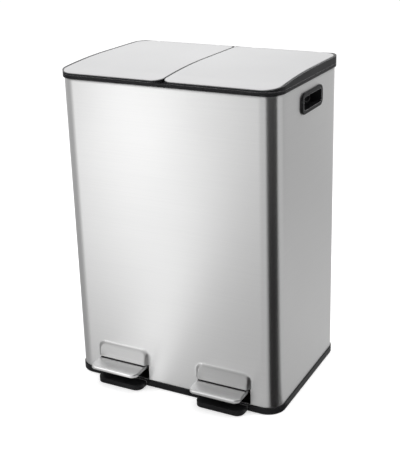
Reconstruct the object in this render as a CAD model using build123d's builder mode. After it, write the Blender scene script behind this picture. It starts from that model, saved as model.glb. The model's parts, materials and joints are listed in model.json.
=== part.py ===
from build123d import *
import math
import os

os.makedirs("parts", exist_ok=True)

# Dual pedal bin, millimetres, +Z up, front towards -Y, standing on Z = 0.
# The origin is below the middle of the whole outline, pedals included.

# Steel body
body_width = 445.0
body_depth = 307.0
body_corner_radius = 33.0
shell_thickness = 1.0

# Foot moulding
foot_height = 1.5
foot_radius = 13.0
foot_inset = 34.0
base_top = 15.0
base_overhang = 2.0
base_edge_radius = 1.2
base_floor = 4.0
base_inner_wall = 2.5
shell_seat_depth = 7.0

# Collar round the top of the body
collar_bottom = 613.0
collar_band = 6.4
collar_overhang = 3.0
collar_top_edge_radius = 0.8
collar_bottom_edge_radius = 1.5
collar_deck = 3.4
collar_skirt_depth = 13.0
collar_skirt_wall = 2.5

# Lids
lid_rise = 15.1
lid_gap = 2.4
lid_parting_gap = 0.5
lid_wall = 3.0
lid_skin = 2.5
lid_plate_thickness = 1.0
lid_plate_inset = 5.0
lid_plate_front_inset = 0.8
lid_plate_corner_radius = 30.0
lid_plate_seam_inset = 0.8
lid_seam_corner_radius = 20.0
lid_back_corner_radius = 12.0
lid_groove = 1.8
dome_radius = 1400.0
dome_start = 10.0

# Lid hinges
nose_radius = 7.3
hinge_pin_radius = 2.0
hinge_pin_length = 28.0
hinge_ear_radius = 5.5
hinge_ear_width = 8.0
hinge_ear_side_gap = 0.5
hinge_ear_spread = 70.0
hinge_slot_play = 0.8
hinge_pin_end_play = 1.0
running_clearance = 0.06

# Inner buckets
bucket_grip_clearance = 4.0
bucket_front_margin = 16.5
bucket_back_bar = 8.0
bucket_bottom = 88.0
bucket_wall = 2.0
bucket_corner_radius = 14.0
bucket_taper = 6.0
bucket_flange = 4.0
bucket_flange_thickness = 2.0
bucket_seat_clearance = 1.0
bucket_flange_clearance = 0.5
bucket_inner_side = 8.0

# Pedals and their levers
pedal_centre = 111.0
pedal_width = 106.0
pedal_reach = 48.0
pedal_inboard = 14.0
pedal_top = 47.0
pedal_depth = 7.0
pedal_sheet = 1.5
pedal_corner_radius = 13.0
lever_width = 14.0
lever_height = 10.0
lever_tip_setback = 12.0
lever_pivot_depth = 58.0
lever_boss_radius = 8.0
lever_tail = 10.0
axle_radius = 3.0
bracket_sheet = 2.5
bracket_side_gap = 1.0
bracket_length = 34.0
bracket_axle_cover = 7.0
rivet_radius = 3.0
rivet_spacing = 34.0
rivet_head = 1.2

# Pressed hoods over the pedals and the mouths below them
hood_bulge = 10.0
hood_width = 118.0
hood_top = 82.0
hood_gap = 2.0
mouth_side_gap = 3.0

# Floor tongues below the pedals
tongue_width = 100.0
tongue_reach = 29.5
tongue_corner_radius = 15.0
tongue_top = 12.0
tongue_edge_radius = 1.2

# Push rods, their slotted heads and the cranks under the lids
crank_radius = 26.0
crank_start_degrees = 40.0
crank_pin_radius = 2.5
crank_boss_radius = 5.0
crank_cheek = 3.0
crank_side_gap = 0.8
crank_plate = 2.0
crank_plate_width = 34.0
crank_plate_length = 26.0
rod_radius = 3.5
rod_foot_radius = 6.0
rod_foot_height = 10.0
rod_foot_gap = 0.6
rod_head_thickness = 5.0
rod_head_wall = 4.0
rod_slot_clearance = 1.2
rod_guide_clearance = 0.09
rod_guide_width = 22.0
rod_guide_height = 12.0
rod_guide_wall = 8.0
lower_guide_height = 190.0
upper_guide_height = 520.0
deck_slot_margin = 2.8

# Side grips
grip_length = 101.0
grip_height = 40.0
grip_below_collar = 37.0
grip_behind_middle = 5.0
grip_corner_radius = 13.0
grip_bezel = 5.0
grip_proud = 3.5
grip_depth = 20.0
grip_wall = 2.5
grip_edge_radius = 1.5

# Rubber bumpers under the lids
bumper_radius = 5.0
bumper_inset = 26.0
bumper_gap = 0.3

# Rear seam strip
seam_width = 14.0
seam_thickness = 0.8
seam_margin = 6.0

# Places that follow from the sizes above
collar_top = collar_bottom + collar_band
lid_top = collar_top + lid_rise
rim_width = body_width + 2 * collar_overhang
rim_depth = body_depth + 2 * collar_overhang
rim_radius = body_corner_radius + collar_overhang
inner_radius = body_corner_radius - shell_thickness
body_y = (body_depth / 2 + pedal_reach - rim_depth / 2) / 2
front_y = body_y - body_depth / 2
back_y = body_y + body_depth / 2
rim_front_y = body_y - rim_depth / 2
rim_back_y = body_y + rim_depth / 2
shell_bottom = base_top - shell_seat_depth
shell_top = collar_top - collar_deck
lid_bottom = collar_top + lid_parting_gap
hinge_y = rim_back_y - nose_radius
hinge_z = lid_top - nose_radius
skin_bottom = lid_top - lid_plate_thickness - lid_skin
crank_y = hinge_y - crank_radius * math.cos(math.radians(crank_start_degrees))
crank_z = hinge_z - crank_radius * math.sin(math.radians(crank_start_degrees))
crank_sway = hinge_y - crank_radius
rod_y = (crank_y + crank_sway) / 2
lever_top = pedal_top - pedal_sheet
pivot_z = lever_top - lever_height / 2
pivot_y = front_y + lever_pivot_depth
pedal_front_y = front_y - pedal_reach
rod_foot_z = lever_top + rod_foot_gap
slot_half_height = crank_pin_radius + rod_slot_clearance
slot_half_length = (crank_y - crank_sway) / 2 + slot_half_height
head_half_height = slot_half_height + rod_head_wall
head_half_length = slot_half_length + rod_head_wall
grip_centre_height = collar_bottom - grip_below_collar
slot_front = crank_sway - crank_boss_radius - deck_slot_margin
slot_back = rod_y + head_half_length + deck_slot_margin
bucket_recess = bucket_flange + bucket_flange_clearance
bucket_outer_x = body_width / 2 - grip_depth - grip_wall - bucket_grip_clearance
bucket_width = bucket_outer_x - bucket_inner_side
bucket_front_y = front_y + bucket_front_margin
bucket_back_y = slot_front - bucket_back_bar - bucket_recess
bucket_depth = bucket_back_y - bucket_front_y
bucket_y = (bucket_front_y + bucket_back_y) / 2
bucket_x = bucket_inner_side + bucket_width / 2
flange_bottom = collar_top - bucket_flange_thickness
hood_bottom = pedal_top + hood_gap
dome_y = body_y + dome_start


# Height of the lid's top surface: level at the back, one long arc down to the front.
def dome_height(y):
    run = max(dome_y - y, 0.0)
    return lid_top - dome_radius + math.sqrt(dome_radius**2 - run**2)


# A prism with a rounded rectangular outline, centred on (x, y).
def rounded_block(width, depth, radius, bottom, top, x=0.0, y=0.0, mode=Mode.ADD):
    with BuildSketch(Plane.XY.offset(bottom)) as outline:
        with Locations((x, y)):
            RectangleRounded(width, depth, radius)
    extrude(outline.sketch, amount=top - bottom, mode=mode)


# Outline of one lid seen from above, drawn in from the rim by separate margins.
def lid_outline(side, outer, front, seam, back, outer_radius):
    x_seam = side * (lid_gap / 2 + seam)
    x_outer = side * (rim_width / 2 - outer)
    y_front = rim_front_y + front
    y_back = rim_back_y - back
    with BuildSketch(Plane.XY, mode=Mode.PRIVATE) as outline:
        with Locations(((x_seam + x_outer) / 2, (y_front + y_back) / 2)):
            Rectangle(abs(x_outer - x_seam), y_back - y_front)
        outer_corners = [v for v in outline.vertices() if abs(v.X - x_outer) < 0.01]
        fillet(outer_corners, outer_radius)
        seam_corners = [v for v in outline.vertices() if abs(v.X - x_seam) < 0.01]
        seam_front = sorted(seam_corners, key=lambda v: v.Y)[0]
        fillet(seam_front, lid_seam_corner_radius - seam)
        seam_corners = [v for v in outline.vertices() if abs(v.X - x_seam) < 0.01]
        seam_back = sorted(seam_corners, key=lambda v: v.Y)[-1]
        fillet(seam_back, lid_back_corner_radius)
    return outline.sketch


# Region below the domed top, seen from the side with the front on the left;
# drop lowers the top surface.
def dome_profile(front, back, bottom, drop):
    arc_middle = (front + dome_y) / 2
    with BuildSketch(Plane.XY, mode=Mode.PRIVATE) as profile:
        with BuildLine():
            Polyline(
                (front, dome_height(front) - drop),
                (front, bottom),
                (back, bottom),
                (back, lid_top - drop),
                (dome_y, lid_top - drop),
            )
            ThreePointArc(
                (dome_y, lid_top - drop),
                (arc_middle, dome_height(arc_middle) - drop),
                (front, dome_height(front) - drop),
            )
        make_face()
    return profile.sketch


def save(part, name):
    part.label = name
    export_step(part, f"parts/{name}.step")


# Foot moulding: a tray with a rim outside the steel and two tongues under the pedals
with BuildPart() as base_moulding:
    rounded_block(
        body_width + 2 * base_overhang, body_depth + 2 * base_overhang,
        body_corner_radius + base_overhang, foot_height, base_top, y=body_y,
    )
    fillet(base_moulding.edges().group_by(Axis.Z)[-1], base_edge_radius)
    tongue_length = tongue_reach + body_corner_radius
    tongue_y = front_y - tongue_reach + tongue_length / 2
    for side in (-1, 1):
        rounded_block(
            tongue_width, tongue_length, tongue_corner_radius, foot_height, tongue_top,
            x=side * pedal_centre, y=tongue_y,
        )
    tongue_edges = base_moulding.edges().filter_by_position(
        Axis.Z, tongue_top - 0.01, tongue_top + 0.01
    )
    outer_tongue_edges = tongue_edges.filter_by(
        lambda edge: edge.center().Y < front_y - base_overhang - 0.1
    )
    fillet(outer_tongue_edges, tongue_edge_radius)
    tray_inset = 2 * (shell_thickness + base_inner_wall)
    rounded_block(
        body_width - tray_inset, body_depth - tray_inset,
        inner_radius - base_inner_wall, foot_height + base_floor, base_top + 1,
        y=body_y, mode=Mode.SUBTRACT,
    )
    with BuildSketch(Plane.XY.offset(shell_bottom)):
        with Locations((0, body_y)):
            RectangleRounded(body_width, body_depth, body_corner_radius)
            RectangleRounded(
                body_width - 2 * shell_thickness, body_depth - 2 * shell_thickness,
                inner_radius, mode=Mode.SUBTRACT,
            )
    extrude(amount=shell_seat_depth, mode=Mode.SUBTRACT)
save(base_moulding.part, "base_moulding")

# Rubber feet under the corners
with BuildPart() as rubber_feet:
    with BuildSketch():
        foot_x = body_width / 2 - foot_inset
        foot_y = body_depth / 2 - foot_inset
        with Locations((0, body_y)):
            with GridLocations(2 * foot_x, 2 * foot_y, 2, 2):
                Circle(foot_radius)
    extrude(amount=foot_height)
save(rubber_feet.part, "rubber_feet")

# One hood as a wedge with rounded side edges; shrink makes the hollow inside it
def hood_wedge(side, shrink, mode):
    foot = hood_bottom if shrink == 0 else hood_bottom - 1
    wedge_start = side * pedal_centre - hood_width / 2 + shrink
    with BuildSketch(Plane.YZ.offset(wedge_start)) as wedge:
        with BuildLine():
            Polyline(
                (front_y + 2 * shell_thickness, hood_top - shrink),
                (front_y + shrink, hood_top - shrink),
                (front_y - hood_bulge + shrink, foot),
                (front_y + 2 * shell_thickness, foot),
                close=True,
            )
        make_face()
    extrude(wedge.sketch, amount=hood_width - 2 * shrink, mode=mode)


# Steel body: one wrapped sheet with pressed hoods, pedal mouths and grip cut-outs
with BuildPart() as steel_shell:
    rounded_block(
        body_width, body_depth, body_corner_radius, shell_bottom, shell_top, y=body_y
    )
    for side in (-1, 1):
        hood_wedge(side, 0.0, Mode.ADD)
    rounded_block(
        body_width - 2 * shell_thickness, body_depth - 2 * shell_thickness, inner_radius,
        shell_bottom - 1, shell_top + 1, y=body_y, mode=Mode.SUBTRACT,
    )
    for side in (-1, 1):
        hood_wedge(side, shell_thickness, Mode.SUBTRACT)
    mouth_width = pedal_width + 2 * mouth_side_gap
    with BuildSketch(Plane.XY.offset(base_top)):
        with Locations((-pedal_centre, front_y), (pedal_centre, front_y)):
            Rectangle(mouth_width, 4 * shell_thickness)
    extrude(amount=hood_bottom - base_top, mode=Mode.SUBTRACT)
    with BuildSketch(Plane.YZ.offset(-body_width / 2 - 1)):
        with Locations((body_y + grip_behind_middle, grip_centre_height)):
            RectangleRounded(
                grip_length - 2 * grip_bezel, grip_height - 2 * grip_bezel,
                grip_corner_radius - grip_bezel,
            )
    extrude(amount=body_width + 2, mode=Mode.SUBTRACT)
save(steel_shell.part, "steel_shell")

# Strip over the sheet's seam, down the middle of the back
with BuildPart() as seam_strip:
    strip_bottom = base_top + seam_margin
    strip_top = collar_bottom - seam_margin
    with BuildSketch(Plane.XY.offset(strip_bottom)):
        with Locations((0, back_y + seam_thickness / 2)):
            Rectangle(seam_width, seam_thickness)
    extrude(amount=strip_top - strip_bottom)
save(seam_strip.part, "seam_strip")

# Collar: rim over the steel, deck with two mouths, hinge ears and crank slots
with BuildPart() as top_collar:
    rounded_block(rim_width, rim_depth, rim_radius, collar_bottom, collar_top, y=body_y)
    fillet(top_collar.edges().group_by(Axis.Z)[-1], collar_top_edge_radius)
    fillet(top_collar.edges().group_by(Axis.Z)[0], collar_bottom_edge_radius)
    skirt_bottom = collar_bottom - collar_skirt_depth
    rounded_block(
        body_width - 2 * shell_thickness, body_depth - 2 * shell_thickness, inner_radius,
        skirt_bottom, collar_bottom, y=body_y,
    )
    skirt_inset = 2 * (shell_thickness + collar_skirt_wall)
    rounded_block(
        body_width - skirt_inset, body_depth - skirt_inset,
        inner_radius - collar_skirt_wall, skirt_bottom - 1, shell_top,
        y=body_y, mode=Mode.SUBTRACT,
    )
    with BuildSketch(Plane.XY.offset(collar_bottom - 1)):
        with Locations((0, body_y)):
            RectangleRounded(body_width, body_depth, body_corner_radius)
            RectangleRounded(
                body_width - 2 * shell_thickness, body_depth - 2 * shell_thickness,
                inner_radius, mode=Mode.SUBTRACT,
            )
    extrude(amount=shell_top - collar_bottom + 1, mode=Mode.SUBTRACT)
    for side in (-1, 1):
        rounded_block(
            bucket_width + 2 * bucket_seat_clearance,
            bucket_depth + 2 * bucket_seat_clearance,
            bucket_corner_radius + bucket_seat_clearance, shell_top - 1, collar_top + 1,
            x=side * bucket_x, y=bucket_y, mode=Mode.SUBTRACT,
        )
        rounded_block(
            bucket_width + 2 * bucket_recess, bucket_depth + 2 * bucket_recess,
            bucket_corner_radius + bucket_recess, flange_bottom, collar_top + 1,
            x=side * bucket_x, y=bucket_y, mode=Mode.SUBTRACT,
        )
        slot_width = rod_head_thickness + 2 * (crank_side_gap + crank_cheek + deck_slot_margin)
        with BuildSketch(Plane.XY.offset(shell_top - 1)):
            with Locations((side * pedal_centre, (slot_front + slot_back) / 2)):
                Rectangle(slot_width, slot_back - slot_front)
        extrude(amount=collar_deck + 2, mode=Mode.SUBTRACT)
        for ear in (-1, 1):
            ear_x = side * pedal_centre + ear * hinge_ear_spread
            with BuildSketch(Plane.YZ.offset(ear_x - hinge_ear_width / 2)):
                ear_height = hinge_z - shell_top
                with Locations((hinge_y, hinge_z - ear_height / 2)):
                    Rectangle(2 * hinge_ear_radius, ear_height)
                with Locations((hinge_y, hinge_z)):
                    Circle(hinge_ear_radius)
                    Circle(hinge_pin_radius, mode=Mode.SUBTRACT)
            extrude(amount=hinge_ear_width)
save(top_collar.part, "top_collar")


# The space above the lid's skin that its steel plate fills, grown by a margin.
def plate_block(side, margin, top):
    with BuildPart(mode=Mode.PRIVATE) as block:
        with BuildSketch(Plane.XY.offset(lid_bottom)) as outline:
            add(
                lid_outline(
                    side, lid_plate_inset - margin, lid_plate_front_inset - margin,
                    lid_plate_seam_inset - margin, nose_radius,
                    lid_plate_corner_radius + margin,
                )
            )
        extrude(outline.sketch, amount=top - lid_bottom)
        with BuildSketch(Plane.YZ.offset(-rim_width / 2)) as below:
            add(dome_profile(rim_front_y - 2, rim_back_y, lid_bottom - 1, lid_plate_thickness))
        extrude(below.sketch, amount=rim_width, mode=Mode.SUBTRACT)
    return block.part


# The hollow under the lid, inside its outer wall and ahead of its rolled back edge.
def lid_hollow(side):
    with BuildPart(mode=Mode.PRIVATE) as hollow:
        with BuildSketch(Plane.YZ.offset(-rim_width / 2)) as below:
            hollow_back = hinge_y - nose_radius
            hollow_drop = lid_plate_thickness + lid_skin
            add(dome_profile(rim_front_y + lid_wall, hollow_back, lid_bottom - 1, hollow_drop))
        extrude(below.sketch, amount=rim_width)
        with BuildSketch(Plane.XY.offset(lid_bottom - 1)) as outline:
            add(
                lid_outline(
                    side, lid_wall, lid_wall, lid_wall, lid_wall, rim_radius - lid_wall
                )
            )
        extrude(outline.sketch, amount=lid_top - lid_bottom + 1, mode=Mode.INTERSECT)
    return hollow.part


for side, hand in ((-1, "left"), (1, "right")):
    # Inner bucket: tapered, hung by its flange from the collar's deck
    with BuildPart() as bucket:
        for height, shrink in ((bucket_bottom, bucket_taper), (flange_bottom, 0.0)):
            with BuildSketch(Plane.XY.offset(height)):
                with Locations((side * bucket_x, bucket_y)):
                    RectangleRounded(
                        bucket_width - 2 * shrink, bucket_depth - 2 * shrink,
                        bucket_corner_radius,
                    )
        loft(ruled=True)
        rounded_block(
            bucket_width + 2 * bucket_flange, bucket_depth + 2 * bucket_flange,
            bucket_corner_radius + bucket_flange, flange_bottom, collar_top,
            x=side * bucket_x, y=bucket_y,
        )
        floor_height = bucket_bottom + bucket_wall
        for height, shrink in ((floor_height, bucket_taper), (collar_top, 0.0)):
            with BuildSketch(Plane.XY.offset(height)):
                with Locations((side * bucket_x, bucket_y)):
                    RectangleRounded(
                        bucket_width - 2 * (shrink + bucket_wall),
                        bucket_depth - 2 * (shrink + bucket_wall),
                        bucket_corner_radius - bucket_wall,
                    )
        loft(ruled=True, mode=Mode.SUBTRACT)
    save(bucket.part, f"bucket_{hand}")

    # Side grip: a bezel proud of the steel with a finger pocket behind it
    outward = Plane(
        origin=(side * (body_width / 2), body_y + grip_behind_middle, grip_centre_height),
        x_dir=(0, side, 0), z_dir=(side, 0, 0),
    )
    with BuildPart() as grip:
        with BuildSketch(outward):
            RectangleRounded(grip_length, grip_height, grip_corner_radius)
        extrude(amount=grip_proud)
        bezel_face = grip.faces().sort_by(Axis.X)[-1 if side > 0 else 0]
        fillet(bezel_face.edges(), grip_edge_radius)
        with BuildSketch(outward):
            RectangleRounded(
                grip_length - 2 * grip_bezel, grip_height - 2 * grip_bezel,
                grip_corner_radius - grip_bezel,
            )
        extrude(amount=-(grip_depth + grip_wall))
        pocket_inset = grip_bezel + grip_wall
        with BuildSketch(outward.offset(-grip_depth)):
            RectangleRounded(
                grip_length - 2 * pocket_inset, grip_height - 2 * pocket_inset,
                grip_corner_radius - pocket_inset,
            )
        extrude(amount=grip_depth + grip_proud, mode=Mode.SUBTRACT)
    save(grip.part, f"side_grip_{hand}")

    # Lid frame: domed moulding with a rolled back edge that turns on the hinge pins
    x_low = min(side * lid_gap / 2, side * rim_width / 2)
    half_width = (rim_width - lid_gap) / 2
    with BuildPart() as lid_frame:
        with BuildSketch(Plane.YZ.offset(x_low)):
            add(dome_profile(rim_front_y, hinge_y, lid_bottom, 0.0))
            with Locations((hinge_y, hinge_z)):
                Circle(nose_radius)
        extrude(amount=half_width)
        with BuildSketch(Plane.XY.offset(lid_bottom - 1)):
            add(lid_outline(side, 0.0, 0.0, 0.0, 0.0, rim_radius))
        extrude(amount=lid_top - lid_bottom + 2, mode=Mode.INTERSECT)
        add(plate_block(side, lid_groove, lid_top + 1), mode=Mode.SUBTRACT)
        add(lid_hollow(side), mode=Mode.SUBTRACT)
        for ear in (-1, 1):
            ear_x = side * pedal_centre + ear * hinge_ear_spread
            slot_width = hinge_ear_width + 2 * hinge_ear_side_gap
            slot_reach = hinge_ear_radius + hinge_slot_play
            with BuildSketch(Plane.XY.offset(lid_bottom - 1)):
                with Locations((ear_x, hinge_y + (nose_radius + 1 - slot_reach) / 2)):
                    Rectangle(slot_width, nose_radius + 1 + slot_reach)
            extrude(amount=lid_top - lid_bottom + 2, mode=Mode.SUBTRACT)
            pin_start = ear_x - hinge_pin_length / 2 - hinge_pin_end_play
            with BuildSketch(Plane.YZ.offset(pin_start)):
                with Locations((hinge_y, hinge_z)):
                    Circle(hinge_pin_radius + running_clearance)
            extrude(amount=hinge_pin_length + 2 * hinge_pin_end_play, mode=Mode.SUBTRACT)
    save(lid_frame.part, f"lid_frame_{hand}")

    # Brushed plate set into the top of the lid
    with BuildPart() as lid_plate:
        add(plate_block(side, 0.0, lid_top + 1))
        with BuildSketch(Plane.YZ.offset(-rim_width / 2)):
            add(dome_profile(rim_front_y - 2, rim_back_y, lid_bottom - 1, 0.0))
        extrude(amount=rim_width, mode=Mode.INTERSECT)
    save(lid_plate.part, f"lid_plate_{hand}")

    # Hinge pins held in the collar's ears
    with BuildPart() as hinge_pins:
        for ear in (-1, 1):
            ear_x = side * pedal_centre + ear * hinge_ear_spread
            with BuildSketch(Plane.YZ.offset(ear_x - hinge_pin_length / 2)):
                with Locations((hinge_y, hinge_z)):
                    Circle(hinge_pin_radius)
            extrude(amount=hinge_pin_length)
    save(hinge_pins.part, f"hinge_pins_{hand}")

    # Crank: a plate under the lid with two cheeks that hold the crank pin
    middle = side * pedal_centre
    with BuildPart() as lid_crank:
        plate_back = hinge_y - nose_radius - 1
        with BuildSketch(Plane.XY.offset(skin_bottom - crank_plate)):
            with Locations((middle, plate_back - crank_plate_length / 2)):
                Rectangle(crank_plate_width, crank_plate_length)
        extrude(amount=crank_plate)
        for cheek in (-1, 1):
            cheek_offset = rod_head_thickness / 2 + crank_side_gap + crank_cheek / 2
            cheek_start = middle + cheek * cheek_offset - crank_cheek / 2
            with BuildSketch(Plane.YZ.offset(cheek_start)):
                with BuildLine():
                    Polyline(
                        (crank_y - crank_boss_radius, crank_z),
                        (crank_y - crank_boss_radius, skin_bottom - crank_plate),
                        (plate_back, skin_bottom - crank_plate),
                        (crank_y + crank_boss_radius, crank_z),
                        close=True,
                    )
                make_face()
                with Locations((crank_y, crank_z)):
                    Circle(crank_boss_radius)
                    Circle(crank_pin_radius, mode=Mode.SUBTRACT)
            extrude(amount=crank_cheek)
    save(lid_crank.part, f"lid_crank_{hand}")

    with BuildPart() as crank_pin:
        pin_length = rod_head_thickness + 2 * (crank_side_gap + crank_cheek)
        with BuildSketch(Plane.YZ.offset(middle - pin_length / 2)):
            with Locations((crank_y, crank_z)):
                Circle(crank_pin_radius)
        extrude(amount=pin_length)
    save(crank_pin.part, f"crank_pin_{hand}")

    # Rubber bumpers under the lid's front corners
    with BuildPart() as lid_bumpers:
        bumper_y = rim_front_y + bumper_inset
        bumper_x = half_width / 2 - bumper_inset
        skin_height = dome_height(bumper_y + bumper_radius) - lid_plate_thickness - lid_skin
        with BuildSketch(Plane.XY.offset(collar_top + bumper_gap)):
            for end in (-1, 1):
                with Locations((side * (lid_gap + half_width) / 2 + end * bumper_x, bumper_y)):
                    Circle(bumper_radius)
        extrude(amount=skin_height - collar_top)
        add(lid_frame.part, mode=Mode.SUBTRACT)
    save(lid_bumpers.part, f"lid_bumpers_{hand}")

    # Push rod: a round foot below, a slotted flat head above
    head_bottom = crank_z - head_half_height
    with BuildPart() as push_rod:
        with BuildSketch(Plane.XY.offset(rod_foot_z)):
            with Locations((middle, rod_y)):
                Circle(rod_foot_radius)
        extrude(amount=rod_foot_height)
        foot_edge = push_rod.edges().group_by(Axis.Z)[0]
        fillet(foot_edge, rod_foot_radius / 2)
        with BuildSketch(Plane.XY.offset(rod_foot_z + rod_foot_height)):
            with Locations((middle, rod_y)):
                Circle(rod_radius)
        extrude(amount=head_bottom - rod_foot_z - rod_foot_height)
    save(push_rod.part, f"push_rod_{hand}")

    with BuildPart() as rod_head:
        with BuildSketch(Plane.YZ.offset(middle - rod_head_thickness / 2)):
            with Locations((rod_y, crank_z)):
                SlotOverall(2 * slot_half_length, 2 * slot_half_height)
                Rectangle(2 * head_half_length, 2 * head_half_height)
                SlotOverall(2 * slot_half_length, 2 * slot_half_height, mode=Mode.SUBTRACT)
        extrude(amount=rod_head_thickness)
    save(rod_head.part, f"rod_head_{hand}")

    # Guide blocks fixed to the inside of the back that keep the rod upright
    with BuildPart() as rod_guides:
        guide_front = rod_y - rod_radius - rod_guide_wall
        guide_back = back_y - shell_thickness
        for height in (lower_guide_height, upper_guide_height):
            with BuildSketch(Plane.XY.offset(height)):
                with Locations((middle, (guide_front + guide_back) / 2)):
                    Rectangle(rod_guide_width, guide_back - guide_front)
                with Locations((middle, rod_y)):
                    Circle(rod_radius + rod_guide_clearance, mode=Mode.SUBTRACT)
            extrude(amount=rod_guide_height)
    save(rod_guides.part, f"rod_guides_{hand}")

    # Pedal: a pressed tray, round at its front corners, open below
    pedal_length = pedal_reach + pedal_inboard
    with BuildPart() as pedal_plate:
        for inset, height in ((0.0, pedal_top), (pedal_sheet, pedal_top - pedal_sheet)):
            with BuildSketch(Plane.XY.offset(pedal_top - pedal_depth)):
                with Locations((middle, pedal_front_y + pedal_length / 2 + inset / 2)):
                    tray = Rectangle(pedal_width - 2 * inset, pedal_length - inset)
                front_corners = tray.vertices().sort_by(Axis.Y)[:2]
                fillet(front_corners, pedal_corner_radius - inset)
            extrude(
                amount=height - pedal_top + pedal_depth,
                mode=Mode.ADD if inset == 0 else Mode.SUBTRACT,
            )
        top_edges = pedal_plate.faces().sort_by(Axis.Z)[-1].edges()
        fillet(top_edges, pedal_sheet * 0.9)
    save(pedal_plate.part, f"pedal_plate_{hand}")

    # Lever: a bar from the pedal over the pivot to the foot of the push rod
    lever_front = pedal_front_y + lever_tip_setback
    lever_back = rod_y + lever_tail
    with BuildPart() as pedal_lever:
        with BuildSketch(Plane.YZ.offset(middle - lever_width / 2)):
            with Locations(((lever_front + lever_back) / 2, pivot_z)):
                Rectangle(lever_back - lever_front, lever_height)
            with Locations((pivot_y, pivot_z)):
                Circle(lever_boss_radius)
                Circle(axle_radius + running_clearance, mode=Mode.SUBTRACT)
        extrude(amount=lever_width)
    save(pedal_lever.part, f"pedal_lever_{hand}")

    # Rivets that hold the pedal to the lever, heads under the bar
    with BuildPart() as pedal_rivets:
        rivet_y = pedal_front_y + pedal_length / 2
        with BuildSketch(Plane.XY.offset(pivot_z - lever_height / 2 - rivet_head)):
            with Locations((middle, rivet_y)):
                with GridLocations(1, rivet_spacing, 1, 2):
                    Circle(rivet_radius)
        extrude(amount=rivet_head)
    save(pedal_rivets.part, f"pedal_rivets_{hand}")

    # Bracket and axle that carry the lever on the floor of the foot moulding
    bracket_bottom = foot_height + base_floor
    cheek_top = pivot_z + bracket_axle_cover
    bracket_width = lever_width + 2 * (bracket_side_gap + bracket_sheet)
    with BuildPart() as pedal_bracket:
        with BuildSketch(Plane.YZ.offset(middle - bracket_width / 2)):
            with Locations((pivot_y, (bracket_bottom + cheek_top) / 2)):
                Rectangle(bracket_length, cheek_top - bracket_bottom)
        extrude(amount=bracket_width)
        upper_corners = pedal_bracket.edges().filter_by(Axis.X).group_by(Axis.Z)[-1]
        fillet(upper_corners, bracket_length / 3)
        inner_width = lever_width + 2 * bracket_side_gap
        with BuildSketch(Plane.YZ.offset(middle - inner_width / 2)):
            with Locations((pivot_y, (bracket_bottom + bracket_sheet + cheek_top) / 2)):
                Rectangle(bracket_length, cheek_top - bracket_bottom - bracket_sheet)
        extrude(amount=inner_width, mode=Mode.SUBTRACT)
        with BuildSketch(Plane.YZ.offset(middle - bracket_width / 2)):
            with Locations((pivot_y, pivot_z)):
                Circle(axle_radius)
        extrude(amount=bracket_width, mode=Mode.SUBTRACT)
    save(pedal_bracket.part, f"pedal_bracket_{hand}")

    with BuildPart() as pedal_axle:
        with BuildSketch(Plane.YZ.offset(middle - bracket_width / 2)):
            with Locations((pivot_y, pivot_z)):
                Circle(axle_radius)
        extrude(amount=bracket_width)
    save(pedal_axle.part, f"pedal_axle_{hand}")
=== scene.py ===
import json
import math
import bpy
import numpy as np
from mathutils import Matrix, Vector


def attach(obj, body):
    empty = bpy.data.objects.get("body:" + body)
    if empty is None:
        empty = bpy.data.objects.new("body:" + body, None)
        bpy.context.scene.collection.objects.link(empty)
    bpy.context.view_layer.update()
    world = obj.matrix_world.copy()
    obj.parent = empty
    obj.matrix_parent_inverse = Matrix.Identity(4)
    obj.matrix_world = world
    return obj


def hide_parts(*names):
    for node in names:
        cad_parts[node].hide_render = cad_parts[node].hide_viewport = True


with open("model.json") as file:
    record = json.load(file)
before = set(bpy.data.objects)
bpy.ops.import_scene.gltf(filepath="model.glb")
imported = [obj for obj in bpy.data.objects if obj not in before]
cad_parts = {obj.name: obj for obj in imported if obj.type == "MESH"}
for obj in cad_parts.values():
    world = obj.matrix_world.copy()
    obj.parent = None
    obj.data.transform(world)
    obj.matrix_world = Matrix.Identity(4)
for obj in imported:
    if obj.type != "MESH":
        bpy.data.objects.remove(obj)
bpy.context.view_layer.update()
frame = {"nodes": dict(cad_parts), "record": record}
nodes = frame["nodes"]
print("frame loaded:", len(nodes), "nodes")


# Meshes: a grid of points (rows, columns, 3) becomes quads between neighbouring rows and columns,
# and each row closes on itself. Cells marked in skip are left out; a capped grid closes its last
# row with one face.
def gridObject(name, points, skip=None, capped=False):
    rows, columns = points.shape[:2]
    index = np.arange(rows * columns).reshape(rows, columns)
    index = np.concatenate([index, index[:, :1]], axis=1)
    a, b = index[:-1, :-1], index[:-1, 1:]
    c, d = index[1:, 1:], index[1:, :-1]
    quads = np.stack([a, b, c, d], axis=-1).reshape(-1, 4)
    if skip is not None:
        quads = quads[~skip.reshape(-1)]
    cap = [np.arange((rows - 1) * columns, rows * columns).tolist()] if capped else []
    mesh = bpy.data.meshes.new(name)
    mesh.from_pydata(points.reshape(-1, 3).tolist(), [], quads.tolist() + cap)
    mesh.polygons.foreach_set("use_smooth", np.ones(len(mesh.polygons), dtype=bool))
    mesh.update()
    piece = bpy.data.objects.new(name, mesh)
    bpy.context.scene.collection.objects.link(piece)
    return piece


# Shader node groups share these values; depths in metres, edge limits as cosines between the
# rounded normal and the flat one.
grainLook = {
    "streakDetail": 4.0, "streakRoughness": 0.65, "cloudDetail": 2.0, "steelDepth": 0.0002,
    "plasticDetail": 3.0, "mottleScale": 14.0, "plasticDepth": 0.0001,
    "bevelSamples": 6, "edgeStart": 0.99, "edgeFull": 0.86,
}


def newGroup(name, inputs, outputs):
    group = bpy.data.node_groups.new(name, "ShaderNodeTree")
    for label, kind, value in inputs:
        socket = group.interface.new_socket(name=label, in_out="INPUT", socket_type=kind)
        socket.default_value = value
    for label, kind in outputs:
        group.interface.new_socket(name=label, in_out="OUTPUT", socket_type=kind)
    return group, group.nodes.new("NodeGroupInput"), group.nodes.new("NodeGroupOutput")


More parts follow.
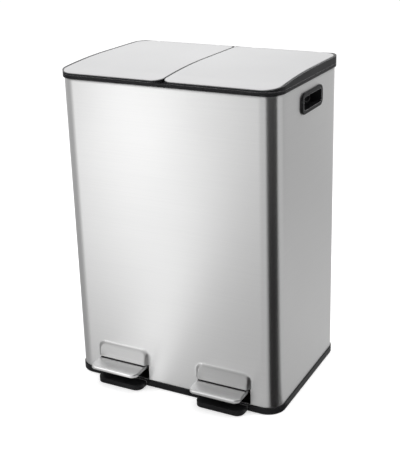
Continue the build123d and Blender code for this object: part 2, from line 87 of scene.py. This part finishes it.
# Rounded edges under a bump: the bevelled normal, and the same normal bumped by a height.
def softNormals(group, entry, height, depth):
    edge = group.nodes.new("ShaderNodeBevel")
    edge.samples = grainLook["bevelSamples"]
    bump = group.nodes.new("ShaderNodeBump")
    bump.inputs["Distance"].default_value = depth
    group.links.new(entry.outputs["Edge Radius"], edge.inputs["Radius"])
    group.links.new(entry.outputs["Bump"], bump.inputs["Strength"])
    group.links.new(height, bump.inputs["Height"])
    group.links.new(edge.outputs["Normal"], bump.inputs["Normal"])
    return edge.outputs["Normal"], bump.outputs["Normal"]


# Brushing: noise on object coordinates, drawn out along one direction by a scale vector,
# gives a fine streak mask, a broad cloud mask and a bumped normal.
def makeBrushedGroup():
    group, entry, end = newGroup(
        "brushedGrain",
        [
            ("Stretch", "NodeSocketVector", (6.0, 6.0, 900.0)),
            ("Cloud", "NodeSocketFloat", 6.0),
            ("Bump", "NodeSocketFloat", 0.05),
            ("Edge Radius", "NodeSocketFloat", 0.0006),
        ],
        [("Streaks", "NodeSocketFloat"), ("Clouds", "NodeSocketFloat"),
         ("Normal", "NodeSocketVector")],
    )
    add = group.nodes.new
    link = group.links.new
    place = add("ShaderNodeTexCoord")
    stretch = add("ShaderNodeVectorMath")
    stretch.operation = "MULTIPLY"
    link(place.outputs["Object"], stretch.inputs[0])
    link(entry.outputs["Stretch"], stretch.inputs[1])
    fine = add("ShaderNodeTexNoise")
    fine.inputs["Scale"].default_value = 1.0
    fine.inputs["Detail"].default_value = grainLook["streakDetail"]
    fine.inputs["Roughness"].default_value = grainLook["streakRoughness"]
    link(stretch.outputs[0], fine.inputs["Vector"])
    broad = add("ShaderNodeTexNoise")
    broad.inputs["Detail"].default_value = grainLook["cloudDetail"]
    link(place.outputs["Object"], broad.inputs["Vector"])
    link(entry.outputs["Cloud"], broad.inputs["Scale"])
    bumped = softNormals(group, entry, fine.outputs["Fac"], grainLook["steelDepth"])[1]
    link(fine.outputs["Fac"], end.inputs["Streaks"])
    link(broad.outputs["Fac"], end.inputs["Clouds"])
    link(bumped, end.inputs["Normal"])
    return group


# Moulded plastic: a fine spark-eroded grain, a slow mottling and a mask of the rounded edges.
def makeMouldedGroup():
    group, entry, end = newGroup(
        "mouldedGrain",
        [("Grain", "NodeSocketFloat", 1400.0), ("Bump", "NodeSocketFloat", 0.12),
         ("Edge Radius", "NodeSocketFloat", 0.0006)],
        [("Grain", "NodeSocketFloat"), ("Mottle", "NodeSocketFloat"),
         ("Edge", "NodeSocketFloat"), ("Normal", "NodeSocketVector")],
    )
    add = group.nodes.new
    link = group.links.new
    place = add("ShaderNodeTexCoord")
    grain = add("ShaderNodeTexNoise")
    grain.inputs["Detail"].default_value = grainLook["plasticDetail"]
    link(place.outputs["Object"], grain.inputs["Vector"])
    link(entry.outputs["Grain"], grain.inputs["Scale"])
    mottle = add("ShaderNodeTexNoise")
    mottle.inputs["Scale"].default_value = grainLook["mottleScale"]
    link(place.outputs["Object"], mottle.inputs["Vector"])
    rounded, bumped = softNormals(group, entry, grain.outputs["Fac"], grainLook["plasticDepth"])
    shape = add("ShaderNodeNewGeometry")
    turn = add("ShaderNodeVectorMath")
    turn.operation = "DOT_PRODUCT"
    link(rounded, turn.inputs[0])
    link(shape.outputs["Normal"], turn.inputs[1])
    bend = add("ShaderNodeMapRange")
    bend.inputs["From Min"].default_value = grainLook["edgeStart"]
    bend.inputs["From Max"].default_value = grainLook["edgeFull"]
    link(turn.outputs["Value"], bend.inputs["Value"])
    link(bend.outputs["Result"], end.inputs["Edge"])
    link(grain.outputs["Fac"], end.inputs["Grain"])
    link(mottle.outputs["Fac"], end.inputs["Mottle"])
    link(bumped, end.inputs["Normal"])
    return group


brushedGroup = makeBrushedGroup()
mouldedGroup = makeMouldedGroup()


def newMaterial(name):
    material = bpy.data.materials.new(name)
    material.use_nodes = True
    tree = material.node_tree
    shader = tree.nodes["Principled BSDF"]
    return material, tree, shader


# Noise lies mostly between the two default limits.
def mapRange(tree, source, low, high, fromLow=0.3, fromHigh=0.7):
    node = tree.nodes.new("ShaderNodeMapRange")
    node.inputs["From Min"].default_value = fromLow
    node.inputs["From Max"].default_value = fromHigh
    node.inputs["To Min"].default_value = low
    node.inputs["To Max"].default_value = high
    tree.links.new(source, node.inputs["Value"])
    return node.outputs["Result"]


def mixColour(tree, factor, dark, pale):
    node = tree.nodes.new("ShaderNodeMix")
    node.data_type = "RGBA"
    node.inputs["A"].default_value = (*dark, 1.0)
    node.inputs["B"].default_value = (*pale, 1.0)
    tree.links.new(factor, node.inputs["Factor"])
    return node.outputs["Result"]


def grainNode(tree, group, settings, keys):
    grain = tree.nodes.new("ShaderNodeGroup")
    grain.node_tree = group
    for label, key in keys.items():
        grain.inputs[label].default_value = settings[key]
    return grain


def finishShader(tree, shader, colour, roughnessMask, normal, settings):
    low, high = settings["roughness"]
    tree.links.new(colour, shader.inputs["Base Color"])
    tree.links.new(mapRange(tree, roughnessMask, low, high), shader.inputs["Roughness"])
    tree.links.new(normal, shader.inputs["Normal"])


# Steel: streaks between a dark and a pale tone, with painted shade over the hoods from the
# mesh attribute. With anisotropy the grain runs level round the body, so highlights draw out
# upright.
def makeSteel(name, settings):
    material, tree, shader = newMaterial(name)
    grain = grainNode(tree, brushedGroup, settings, {
        "Stretch": "stretch", "Cloud": "cloud", "Bump": "bump", "Edge Radius": "edge"})
    streakMix = mapRange(tree, grain.outputs["Streaks"], 0.0, 1.0)
    colour = mixColour(tree, streakMix, settings["dark"], settings["pale"])
    # Painted shade: darkens the steel's colour towards black over the hoods.
    if settings["paintedHoodShade"] > 0:
        paintedShade = tree.nodes.new("ShaderNodeAttribute")
        paintedShade.attribute_name = "paintedShade"
        shade = mapRange(tree, paintedShade.outputs["Fac"], 0.0, settings["paintedHoodShade"], 0.0, 1.0)
        shadedColour = mixColour(tree, shade, settings["dark"], (0.0, 0.0, 0.0))
        tree.links.new(colour, shadedColour.node.inputs["A"])
        colour = shadedColour
    finishShader(tree, shader, colour, grain.outputs["Clouds"], grain.outputs["Normal"], settings)
    shader.inputs["Metallic"].default_value = 1.0
    if settings["anisotropy"] > 0:
        shader.inputs["Anisotropic"].default_value = settings["anisotropy"]
        shader.inputs["Anisotropic Rotation"].default_value = settings["brushTurn"]
        tangent = tree.nodes.new("ShaderNodeTangent")
        tangent.direction_type = "RADIAL"
        tangent.axis = "Z"
        tree.links.new(tangent.outputs["Tangent"], shader.inputs["Tangent"])
    return material


# Plastic: mottled between a dark and a pale tone, with a painted highlight lightening its rounded
# edges to a tone of their own.
def makePlastic(name, settings):
    material, tree, shader = newMaterial(name)
    grain = grainNode(tree, mouldedGroup, settings, {
        "Grain": "grain", "Bump": "bump", "Edge Radius": "edge"})
    shader.inputs["Specular IOR Level"].default_value = settings["specular"]
    factor = mapRange(tree, grain.outputs["Mottle"], 0.0, 1.0)
    colour = mixColour(tree, factor, settings["dark"], settings["pale"])
    # Painted highlight: the rounded edges are lightened towards the edge tone.
    paintedEdgeHighlight = mixColour(tree, grain.outputs["Edge"], settings["dark"], settings["edgeHighlightTone"])
    tree.links.new(colour, paintedEdgeHighlight.node.inputs["A"])
    finishShader(tree, shader, paintedEdgeHighlight, grain.outputs["Grain"], grain.outputs["Normal"], settings)
    return material


# The body steel carries painted shade over its hoods; the other steels carry none.
bodySteel = makeSteel("bodySteel", {
    "stretch": (5.0, 5.0, 1100.0), "cloud": 5.0, "bump": 0.006, "edge": 0.0003,
    "dark": (0.785, 0.785, 0.785), "pale": (0.815, 0.815, 0.812),
    "roughness": (0.37, 0.39), "anisotropy": 0.92, "brushTurn": 0.25, "paintedHoodShade": 0.46,
})
lidSteel = makeSteel("lidSteel", {
    "stretch": (1100.0, 5.0, 5.0), "cloud": 4.0, "bump": 0.006, "edge": 0.0009,
    "dark": (0.775, 0.775, 0.78), "pale": (0.795, 0.795, 0.80),
    "roughness": (0.38, 0.44), "anisotropy": 0.0, "paintedHoodShade": 0.0,
})
pedalSteel = makeSteel("pedalSteel", {
    "stretch": (5.0, 900.0, 900.0), "cloud": 12.0, "bump": 0.05, "edge": 0.002,
    "dark": (0.84, 0.84, 0.84), "pale": (0.92, 0.92, 0.92),
    "roughness": (0.28, 0.36), "anisotropy": 0.0, "paintedHoodShade": 0.0,
})
zincSteel = makeSteel("zincSteel", {
    "stretch": (220.0, 220.0, 220.0), "cloud": 25.0, "bump": 0.05, "edge": 0.0004,
    "dark": (0.42, 0.43, 0.45), "pale": (0.58, 0.59, 0.60),
    "roughness": (0.34, 0.48), "anisotropy": 0.0, "paintedHoodShade": 0.0,
})
# Each plastic's edge tone is the colour of a painted highlight on its rounded edges.
blackPlastic = makePlastic("blackPlastic", {
    "grain": 1500.0, "bump": 0.08, "roughness": (0.28, 0.36), "edge": 0.0012,
    "dark": (0.009, 0.009, 0.010), "pale": (0.014, 0.014, 0.015), "specular": 0.09,
    "edgeHighlightTone": (0.30, 0.30, 0.305),
})
bucketPlastic = makePlastic("bucketPlastic", {
    "grain": 900.0, "bump": 0.20, "roughness": (0.48, 0.58), "edge": 0.0012,
    "dark": (0.030, 0.030, 0.032), "pale": (0.042, 0.042, 0.045), "specular": 0.4,
    "edgeHighlightTone": (0.07, 0.07, 0.073),
})
rubber = makePlastic("rubber", {
    "grain": 700.0, "bump": 0.30, "roughness": (0.75, 0.88), "edge": 0.0006,
    "dark": (0.014, 0.014, 0.014), "pale": (0.022, 0.022, 0.022), "specular": 0.3,
    "edgeHighlightTone": (0.03, 0.03, 0.03),
})

finishes = {
    "body_steel": bodySteel, "lid_steel": lidSteel, "pedal_steel": pedalSteel,
    "zinc_steel": zincSteel, "black_plastic": blackPlastic,
    "bucket_plastic": bucketPlastic, "rubber": rubber,
}

for part in frame["record"]["subparts"]:
    nodeMesh = nodes[part["node"]].data
    nodeMesh.materials.clear()
    nodeMesh.materials.append(finishes[part["material_slot"]])
print("materials set on the carried pieces")


# Steel body, metres. The level outline is a rounded rectangle walked anticlockwise; the sheet
# is that outline at each height, pushed outwards at the two hoods over the pedals. Narrow guard
# rows and columns round each cut-out keep the smooth shading flat up to its edge. The steps count
# the cells between one named place and the next.
steelBody = {
    "width": 0.445, "depth": 0.307, "cornerRadius": 0.033, "middle": 0.0225,
    "bottom": 0.0085, "top": 0.6155, "sheet": 0.0008,
    "hoodCentres": (-0.111, 0.111), "hoodWidth": 0.118, "hoodTop": 0.082, "hoodFoot": 0.049,
    "hoodBulge": 0.0096, "hoodCorner": 0.017, "hoodEase": 0.0075, "hoodCurve": 2.0,
    "paintedShadeFade": 0.3, "footFade": 0.002, "hoodMargin": 0.004, "guard": 0.0006,
    "mouthWidth": 0.112, "mouthFoot": 0.015, "gripMiddle": 0.0275, "gripLength": 0.090,
    "gripBottom": 0.5615, "gripTop": 0.5905, "flatNormal": 0.999,
    "frontSteps": [18, 1, 60, 1, 36, 1, 60, 1, 18], "sideSteps": [6, 1, 12, 1, 6],
    "backSteps": 24, "cornerSteps": 20, "heightSteps": [1, 1, 6, 3, 1, 26, 24, 1, 4, 1, 3],
}


def spaced(stops, counts):
    runs = [np.linspace(a, b, n, endpoint=False) for a, b, n in zip(stops, stops[1:], counts)]
    return np.concatenate(runs + [[stops[-1]]])


def smoothStep(value):
    value = np.clip(value, 0.0, 1.0)
    return value * value * (3.0 - 2.0 * value)


# Outline points and outward normals. The front is walked left to right, then each corner is a
# quarter circle: centre + radius (cos t, sin t).
def bodyOutline(settings):
    radius = settings["cornerRadius"]
    endX = settings["width"] / 2 - radius
    endY = settings["depth"] / 2 - radius
    left, right = settings["hoodCentres"]
    half = settings["mouthWidth"] / 2
    guard = settings["guard"]
    frontX = spaced([-endX, left - half - guard, left - half, left + half, left + half + guard,
                     right - half - guard, right - half, right + half, right + half + guard,
                     endX], settings["frontSteps"])
    gripMiddle = settings["gripMiddle"] - settings["middle"]
    gripHalf = settings["gripLength"] / 2
    sideY = spaced([-endY, gripMiddle - gripHalf - guard, gripMiddle - gripHalf,
                    gripMiddle + gripHalf, gripMiddle + gripHalf + guard, endY],
                   settings["sideSteps"])
    backX = np.linspace(endX, -endX, settings["backSteps"] + 1)
    corner = np.radians(np.linspace(-90.0, 0.0, settings["cornerSteps"] + 1))
    pieces = []
    for x, y, turn in ((endX, -endY, 0.0), (endX, endY, 90.0), (-endX, endY, 180.0),
                       (-endX, -endY, 270.0)):
        angle = corner + math.radians(turn)
        pieces.append(np.stack([x + radius * np.cos(angle), y + radius * np.sin(angle),
                                np.cos(angle), np.sin(angle)], axis=-1))

    def straight(x, y, normalX, normalY):
        blank = np.zeros(max(np.size(x), np.size(y)) - 2)
        inner = slice(1, -1)
        x = x[inner] if np.ndim(x) else blank + x
        y = y[inner] if np.ndim(y) else blank + y
        return np.stack([x, y, blank + normalX, blank + normalY], axis=-1)

    outerX, outerY = endX + radius, endY + radius
    return np.concatenate([
        straight(frontX, -outerY, 0.0, -1.0), pieces[0],
        straight(outerX, sideY, 1.0, 0.0), pieces[1],
        straight(backX, outerY, 0.0, 1.0), pieces[2],
        straight(-outerX, sideY[::-1], -1.0, 0.0), pieces[3],
    ])


# Hood push: one minus (one minus drop) to a power, from nothing at the hood's top to the full
# bulge at its foot, eased in from the hood's outline (a rectangle with round top corners) and
# faded just below the foot. Painted shade: 1 on the hood's upper part, less towards its foot.
def hoodPush(x, z, onFront, settings):
    push = np.zeros(np.broadcast(x, z).shape)
    paintedShade = np.zeros_like(push)
    below = settings["hoodTop"] - z
    drop = np.clip(below / (settings["hoodTop"] - settings["hoodFoot"]), 0.0, 1.0)
    fade = smoothStep((z - settings["hoodFoot"]) / settings["footFade"] + 1.0)
    corner = settings["hoodCorner"]
    for centre in settings["hoodCentres"]:
        inside = settings["hoodWidth"] / 2 - np.abs(x - centre)
        overX = np.maximum(corner - inside, 0.0)
        overZ = np.maximum(corner - below, 0.0)
        nearest = np.where((overX > 0) & (overZ > 0), corner - np.hypot(overX, overZ),
                           np.minimum(inside, below))
        swell = 1.0 - (1.0 - drop) ** settings["hoodCurve"]
        eased = smoothStep(nearest / settings["hoodEase"]) * fade
        push += settings["hoodBulge"] * swell * eased
        paintedShade += eased * (1.0 - settings["paintedShadeFade"] * drop)
    return push * onFront, paintedShade * onFront


def makeSteelBody(settings):
    outline = bodyOutline(settings)
    guard = settings["guard"]
    heights = spaced(
        [settings["bottom"], settings["mouthFoot"] - guard, settings["mouthFoot"],
         settings["hoodFoot"] - settings["footFade"], settings["hoodFoot"],
         settings["hoodFoot"] + guard, settings["hoodTop"] + settings["hoodMargin"],
         settings["gripBottom"] - guard, settings["gripBottom"],
         settings["gripTop"], settings["gripTop"] + guard, settings["top"]],
        settings["heightSteps"])
    x, y = outline[None, :, 0], outline[None, :, 1] + settings["middle"]
    z = heights[:, None]
    onFront = outline[None, :, 3] < -settings["flatNormal"]
    push, paintedShade = hoodPush(x, z, onFront, settings)
    points = np.stack([x + push * outline[None, :, 2], y + push * outline[None, :, 3],
                       z + np.zeros_like(push)], axis=-1)

    # Cells left out: the pedal mouths and the cut-outs behind the grips
    midZ = (heights[:-1] + heights[1:])[:, None] / 2
    nextOutline = np.roll(outline, -1, axis=0)
    midX = (outline[:, 0] + nextOutline[:, 0])[None, :] / 2
    midY = (outline[:, 1] + nextOutline[:, 1])[None, :] / 2 + settings["middle"]
    onSide = np.abs(outline[None, :, 2]) > settings["flatNormal"]
    inMouth = np.zeros((len(heights) - 1, len(outline)), dtype=bool)
    mouthRows = (midZ > settings["mouthFoot"]) & (midZ < settings["hoodFoot"])
    for centre in settings["hoodCentres"]:
        acrossMouth = np.abs(midX - centre) < settings["mouthWidth"] / 2
        inMouth |= mouthRows & acrossMouth & onFront
    gripRows = (midZ > settings["gripBottom"]) & (midZ < settings["gripTop"])
    alongGrip = np.abs(midY - settings["gripMiddle"]) < settings["gripLength"] / 2
    piece = gridObject("steelBody", points, skip=inMouth | (gripRows & alongGrip & onSide))
    # Painted shade over the hoods, kept on the points for the body steel's colour.
    shade = piece.data.attributes.new("paintedShade", "FLOAT", "POINT")
    shade.data.foreach_set("value", paintedShade.astype(np.float32).reshape(-1))
    wall = piece.modifiers.new("sheet", "SOLIDIFY")
    wall.thickness = settings["sheet"]
    wall.offset = -1.0
    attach(piece, "housing")
    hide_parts("steel_shell")
    piece.data.materials.append(bodySteel)


makeSteelBody(steelBody)
print("steel body made")


# Pressed sheet: rings of a rectangle with its own radius at each corner, walked anticlockwise
# from the front left. Ring by ring the outline goes up its wall, over a quarter round hem
# (inset r - r cos t, drop r - r sin t) and then shrinks towards the middle of the top.
def roundedRing(low, high, radii, inset, cornerSteps, sideSteps):
    signs = ((1, 1), (-1, 1), (-1, -1), (1, -1))
    corners = ((low[0], low[1]), (high[0], low[1]), (high[0], high[1]), (low[0], high[1]))
    arcs = []
    for place, sign, radius, start in zip(corners, signs, radii, (180.0, 270.0, 0.0, 90.0)):
        angle = np.radians(start + np.linspace(0.0, 90.0, cornerSteps + 1))
        arcs.append(np.stack([
            place[0] + sign[0] * radius + (radius - inset) * np.cos(angle),
            place[1] + sign[1] * radius + (radius - inset) * np.sin(angle)], axis=-1))
    share = np.linspace(0.0, 1.0, sideSteps + 2)[1:-1, None]
    nextArcs = arcs[1:] + arcs[:1]
    sides = [arc[-1] + (after[0] - arc[-1]) * share for arc, after in zip(arcs, nextArcs)]
    return np.concatenate([run for pair in zip(arcs, sides) for run in pair])


def pressedSheet(name, low, high, radii, topHeight, settings):
    hem = settings["hem"]
    turn = np.radians(np.linspace(0.0, 90.0, settings["hemSteps"] + 1))
    insets = np.concatenate([[0.0], hem - hem * np.cos(turn)])
    drops = np.concatenate([[settings["depth"]], hem - hem * np.sin(turn)])
    rings = np.stack([roundedRing(low, high, radii, inset, settings["cornerSteps"],
                                  settings["sideSteps"]) for inset in insets])
    middle = (np.asarray(low) + np.asarray(high)) / 2
    shrink = np.linspace(1.0, settings["capShare"], settings["innerRings"] + 1)[1:, None, None]
    inner = middle + (rings[-1] - middle) * shrink
    plan = np.concatenate([rings, inner])
    drop = np.concatenate([drops, np.zeros(len(inner))])[:, None]
    z = topHeight(plan[..., 1]) - drop
    piece = gridObject(name, np.concatenate([plan, z[..., None]], axis=-1), capped=True)
    sheet = piece.modifiers.new("sheet", "SOLIDIFY")
    sheet.thickness = settings["sheet"]
    sheet.offset = -1.0
    return piece


# Lid plates: level at the back, one arc of domeRadius from domeStart down to the front, metres
lidPlate = {
    "seam": 0.0020, "outer": 0.2205, "front": -0.1332, "back": 0.1717, "outerCorner": 0.030,
    "seamFrontCorner": 0.0192, "seamBackCorner": 0.012, "top": 0.6345, "domeRadius": 1.4,
    "domeStart": 0.0325, "hem": 0.0009, "hemSteps": 5, "depth": 0.00098, "sheet": 0.0008,
    "cornerSteps": 14, "sideSteps": 26, "innerRings": 18, "capShare": 0.02,
}


def makeLidPlate(hand, settings):
    def domeHeight(y):
        run = np.maximum(settings["domeStart"] - y, 0.0)
        radius = settings["domeRadius"]
        return settings["top"] - radius + np.sqrt(radius ** 2 - run ** 2)

    seam, outer, outerCorner = settings["seam"], settings["outer"], settings["outerCorner"]
    seamFront, seamBack = settings["seamFrontCorner"], settings["seamBackCorner"]
    if hand == "left":
        ends = (-outer, -seam)
        radii = (outerCorner, seamFront, seamBack, outerCorner)
    else:
        ends = (seam, outer)
        radii = (seamFront, outerCorner, outerCorner, seamBack)
    piece = pressedSheet("lidPlate_" + hand, (ends[0], settings["front"]),
                         (ends[1], settings["back"]), radii, domeHeight, settings)
    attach(piece, "lid_" + hand)
    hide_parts("lid_plate_" + hand)
    piece.data.materials.append(lidSteel)


# Pedals: flat pressed trays with round front corners and a broad hem
pedal = {
    "centre": 0.111, "width": 0.106, "front": -0.179, "back": -0.117, "top": 0.047,
    "frontCorner": 0.013, "backCorner": 0.005, "hem": 0.003, "hemSteps": 8, "depth": 0.0069,
    "sheet": 0.0014, "cornerSteps": 14, "sideSteps": 10, "innerRings": 3, "capShare": 0.02,
}


def makePedal(hand, side, settings):
    def levelHeight(y):
        return np.full_like(y, settings["top"])

    centre, half = side * settings["centre"], settings["width"] / 2
    radii = [settings["frontCorner"]] * 2 + [settings["backCorner"]] * 2
    piece = pressedSheet("pedal_" + hand, (centre - half, settings["front"]),
                         (centre + half, settings["back"]), radii, levelHeight, settings)
    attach(piece, "pedal_" + hand)
    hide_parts("pedal_plate_" + hand)
    piece.data.materials.append(pedalSteel)


for hand, side in (("left", -1), ("right", 1)):
    makeLidPlate(hand, lidPlate)
    makePedal(hand, side, pedal)
print("lid plates and pedals made")


# Stage: a pale floor and a round studio wall. Only reflections see the wall, and what they see
# of the wall and the floor is a glow by azimuth, in degrees from the front towards the right. A
# black flag stands to the right of the front, the brightest panel front left.
studio = {
    "centre": (0.0, 0.02), "wallRadius": 1.15, "wallHeights": [0.0, 0.55, 0.80, 2.4],
    "floorRadii": (7.0, 3.0), "innerRadius": 1.5, "innerRings": 41, "azimuthSteps": 720,
    "floorGrey": 0.80, "floorRoughness": 0.9, "floorSpecular": 0.1, "cameraLift": 0.45,
    "worldLevel": 0.70,
    "flagCentre": (0.19, -0.098), "flagLevel": 0.015, "flagTop": 0.80,
    "wallFlag": [(-180, 0), (18, 0), (21, 1), (88, 1), (91, 0), (180, 0)],
    "floorFlag": [(-180, 0), (29, 0), (32, 1), (104, 1), (108, 0), (180, 0)],
    "wallGlow": [(-180, 0.90), (-150, 0.75), (-100, 0.45), (-62, 0.46), (-52, 0.72),
                 (-46, 1.00), (-40, 1.32), (-34, 2.05), (-28, 2.05), (-23, 1.45), (-18, 1.12),
                 (-11, 0.92), (0, 0.80), (80, 0.62), (118, 0.56), (135, 0.43), (150, 0.52),
                 (165, 0.80), (180, 0.95)],
    "wallHighGlow": [(-180, 0.95), (-150, 1.12), (-100, 0.90), (-60, 0.50), (-40, 0.60),
                     (-20, 0.60), (0, 0.60), (80, 0.62), (118, 0.56), (135, 0.43),
                     (150, 0.52), (165, 0.80), (180, 0.95)],
    "wallTopGlow": [(-180, 0.95), (-100, 0.90), (-60, 0.60), (-20, 0.70), (10, 1.00),
                    (90, 1.00), (118, 0.60), (150, 0.60), (180, 0.95)],
    "floorGlow": [(-180, 0.55), (-120, 0.40), (-60, 0.36), (-41, 0.46), (-35, 0.58),
                  (-30, 0.84), (-24, 1.02), (-18, 0.84), (-10, 0.50), (6, 0.44), (112, 0.60),
                  (128, 0.64), (180, 0.62)],
}


def azimuthAbout(x, y, centre):
    return np.degrees(np.arctan2(x - centre[0], centre[1] - y))


# Points on rings about the bin: centre + radius (sin a, -cos a) at the row's radius and height.
# The glow attribute is the row's table read at each azimuth, dimmed to the flag's level where the
# flag stands, up to its top.
def ringSurface(name, radii, heights, tables, flagTable, flagTop, settings):
    azimuth = np.linspace(-180.0, 180.0, settings["azimuthSteps"], endpoint=False)
    angle = np.radians(azimuth)[None, :]
    radius = np.asarray(radii)[:, None]
    x = settings["centre"][0] + radius * np.sin(angle)
    y = settings["centre"][1] - radius * np.cos(angle)
    z = np.asarray(heights)[:, None] + np.zeros_like(x)
    piece = gridObject(name, np.stack([x, y, z], axis=-1))
    levels = np.stack([np.interp(azimuth, *zip(*table)) for table in tables])
    flag = np.interp(azimuthAbout(x, y, settings["flagCentre"]), *zip(*flagTable))
    glow = levels + flag * (z <= flagTop) * (settings["flagLevel"] - levels)
    values = glow.astype(np.float32).reshape(-1)
    piece.data.attributes.new("glow", "FLOAT", "POINT").data.foreach_set("value", values)
    return piece


def glowShader(tree):
    attribute = tree.nodes.new("ShaderNodeAttribute")
    attribute.attribute_name = "glow"
    shine = tree.nodes.new("ShaderNodeEmission")
    tree.links.new(attribute.outputs["Fac"], shine.inputs["Strength"])
    return shine.outputs["Emission"]


def glossySwitch(tree, otherShader):
    path = tree.nodes.new("ShaderNodeLightPath")
    mix = tree.nodes.new("ShaderNodeMixShader")
    tree.links.new(path.outputs["Is Glossy Ray"], mix.inputs["Fac"])
    tree.links.new(otherShader, mix.inputs[1])
    tree.links.new(glowShader(tree), mix.inputs[2])
    tree.links.new(mix.outputs["Shader"], tree.nodes["Material Output"].inputs["Surface"])


def makeStudio(settings):
    innerRings = np.linspace(settings["innerRadius"], 0.0, settings["innerRings"])
    floorRings = np.concatenate([settings["floorRadii"], innerRings])
    floorTables = [settings["floorGlow"]] * len(floorRings)
    floor = ringSurface("floor", floorRings, 0.0 * floorRings, floorTables,
                        settings["floorFlag"], 0.0, settings)
    floorMaterial, tree, shader = newMaterial("floorSweep")
    shader.inputs["Base Color"].default_value = (*[settings["floorGrey"]] * 3, 1.0)
    shader.inputs["Roughness"].default_value = settings["floorRoughness"]
    shader.inputs["Specular IOR Level"].default_value = settings["floorSpecular"]
    path = tree.nodes.new("ShaderNodeLightPath")
    lift = mapRange(tree, path.outputs["Is Camera Ray"], 0.0, settings["cameraLift"], 0.0, 1.0)
    shader.inputs["Emission Color"].default_value = (1.0, 1.0, 1.0, 1.0)
    tree.links.new(lift, shader.inputs["Emission Strength"])
    glossySwitch(tree, shader.outputs["BSDF"])
    floor.data.materials.append(floorMaterial)

    wallTables = [settings[key] for key in ("wallGlow", "wallGlow", "wallHighGlow",
                                            "wallTopGlow")]
    wall = ringSurface("studioWall", [settings["wallRadius"]] * 4, settings["wallHeights"],
                       wallTables, settings["wallFlag"], settings["flagTop"], settings)
    wallMaterial, tree, shader = newMaterial("studioWall")
    tree.nodes.remove(shader)
    clear = tree.nodes.new("ShaderNodeBsdfTransparent")
    glossySwitch(tree, clear.outputs["BSDF"])
    wall.data.materials.append(wallMaterial)


makeStudio(studio)

# Lamps light the matt surfaces; the glossy ones see the studio instead. Metres and watts.
lampAim = (0.0, 0.0, 0.3)
lamps = [
    {"name": "keyLamp", "place": (-1.6, -2.2, 2.6), "size": 1.6, "power": 38.0},
    {"name": "topLamp", "place": (0.3, 0.2, 3.0), "size": 2.4, "power": 38.0},
    {"name": "sideLamp", "place": (2.6, 0.8, 1.6), "size": 1.4, "power": 18.0},
]
for lamp in lamps:
    data = bpy.data.lights.new(lamp["name"], "AREA")
    data.size = lamp["size"]
    data.energy = lamp["power"]
    light = bpy.data.objects.new(lamp["name"], data)
    light.location = lamp["place"]
    aim = Vector(lampAim) - Vector(lamp["place"])
    light.rotation_euler = aim.to_track_quat("-Z", "Y").to_euler()
    light.visible_glossy = False
    bpy.context.scene.collection.objects.link(light)

world = bpy.data.worlds.new("studio")
bpy.context.scene.world = world
world.use_nodes = True
worldTree = world.node_tree
worldShader = worldTree.nodes["Background"]
worldPath = worldTree.nodes.new("ShaderNodeLightPath")
worldLevel = mapRange(worldTree, worldPath.outputs["Is Camera Ray"], studio["worldLevel"], 1.0,
                      0.0, 1.0)
worldTree.links.new(worldLevel, worldShader.inputs["Strength"])
worldShader.inputs["Color"].default_value = (1.0, 1.0, 1.0, 1.0)
print("stage and lamps set")

# Camera at the photograph's viewing angle, in degrees and metres
cameraView = {
    "azimuth": 26.54, "elevation": 18.59, "roll": -1.12,
    "place": (0.8270, -1.5211, 0.9711), "lens": 73.41,
    "shiftX": -0.0656, "shiftY": -0.0952,
}


def makeCamera(settings):
    azimuth = math.radians(settings["azimuth"])
    elevation = math.radians(settings["elevation"])
    roll = math.radians(settings["roll"])
    back = Vector((math.sin(azimuth) * math.cos(elevation),
                   -math.cos(azimuth) * math.cos(elevation), math.sin(elevation)))
    level = Vector((math.cos(azimuth), math.sin(azimuth), 0.0))
    upright = back.cross(level)
    right = math.cos(roll) * level + math.sin(roll) * upright
    up = math.cos(roll) * upright - math.sin(roll) * level
    data = bpy.data.cameras.new("photoCamera")
    data.lens = settings["lens"]
    data.shift_x = settings["shiftX"]
    data.shift_y = settings["shiftY"]
    camera = bpy.data.objects.new("photoCamera", data)
    turn = Matrix((right, up, back)).transposed()
    camera.matrix_world = Matrix.Translation(settings["place"]) @ turn.to_4x4()
    bpy.context.scene.collection.objects.link(camera)
    bpy.context.scene.camera = camera


makeCamera(cameraView)
bpy.context.scene.view_settings.view_transform = "Standard"
print("camera set")
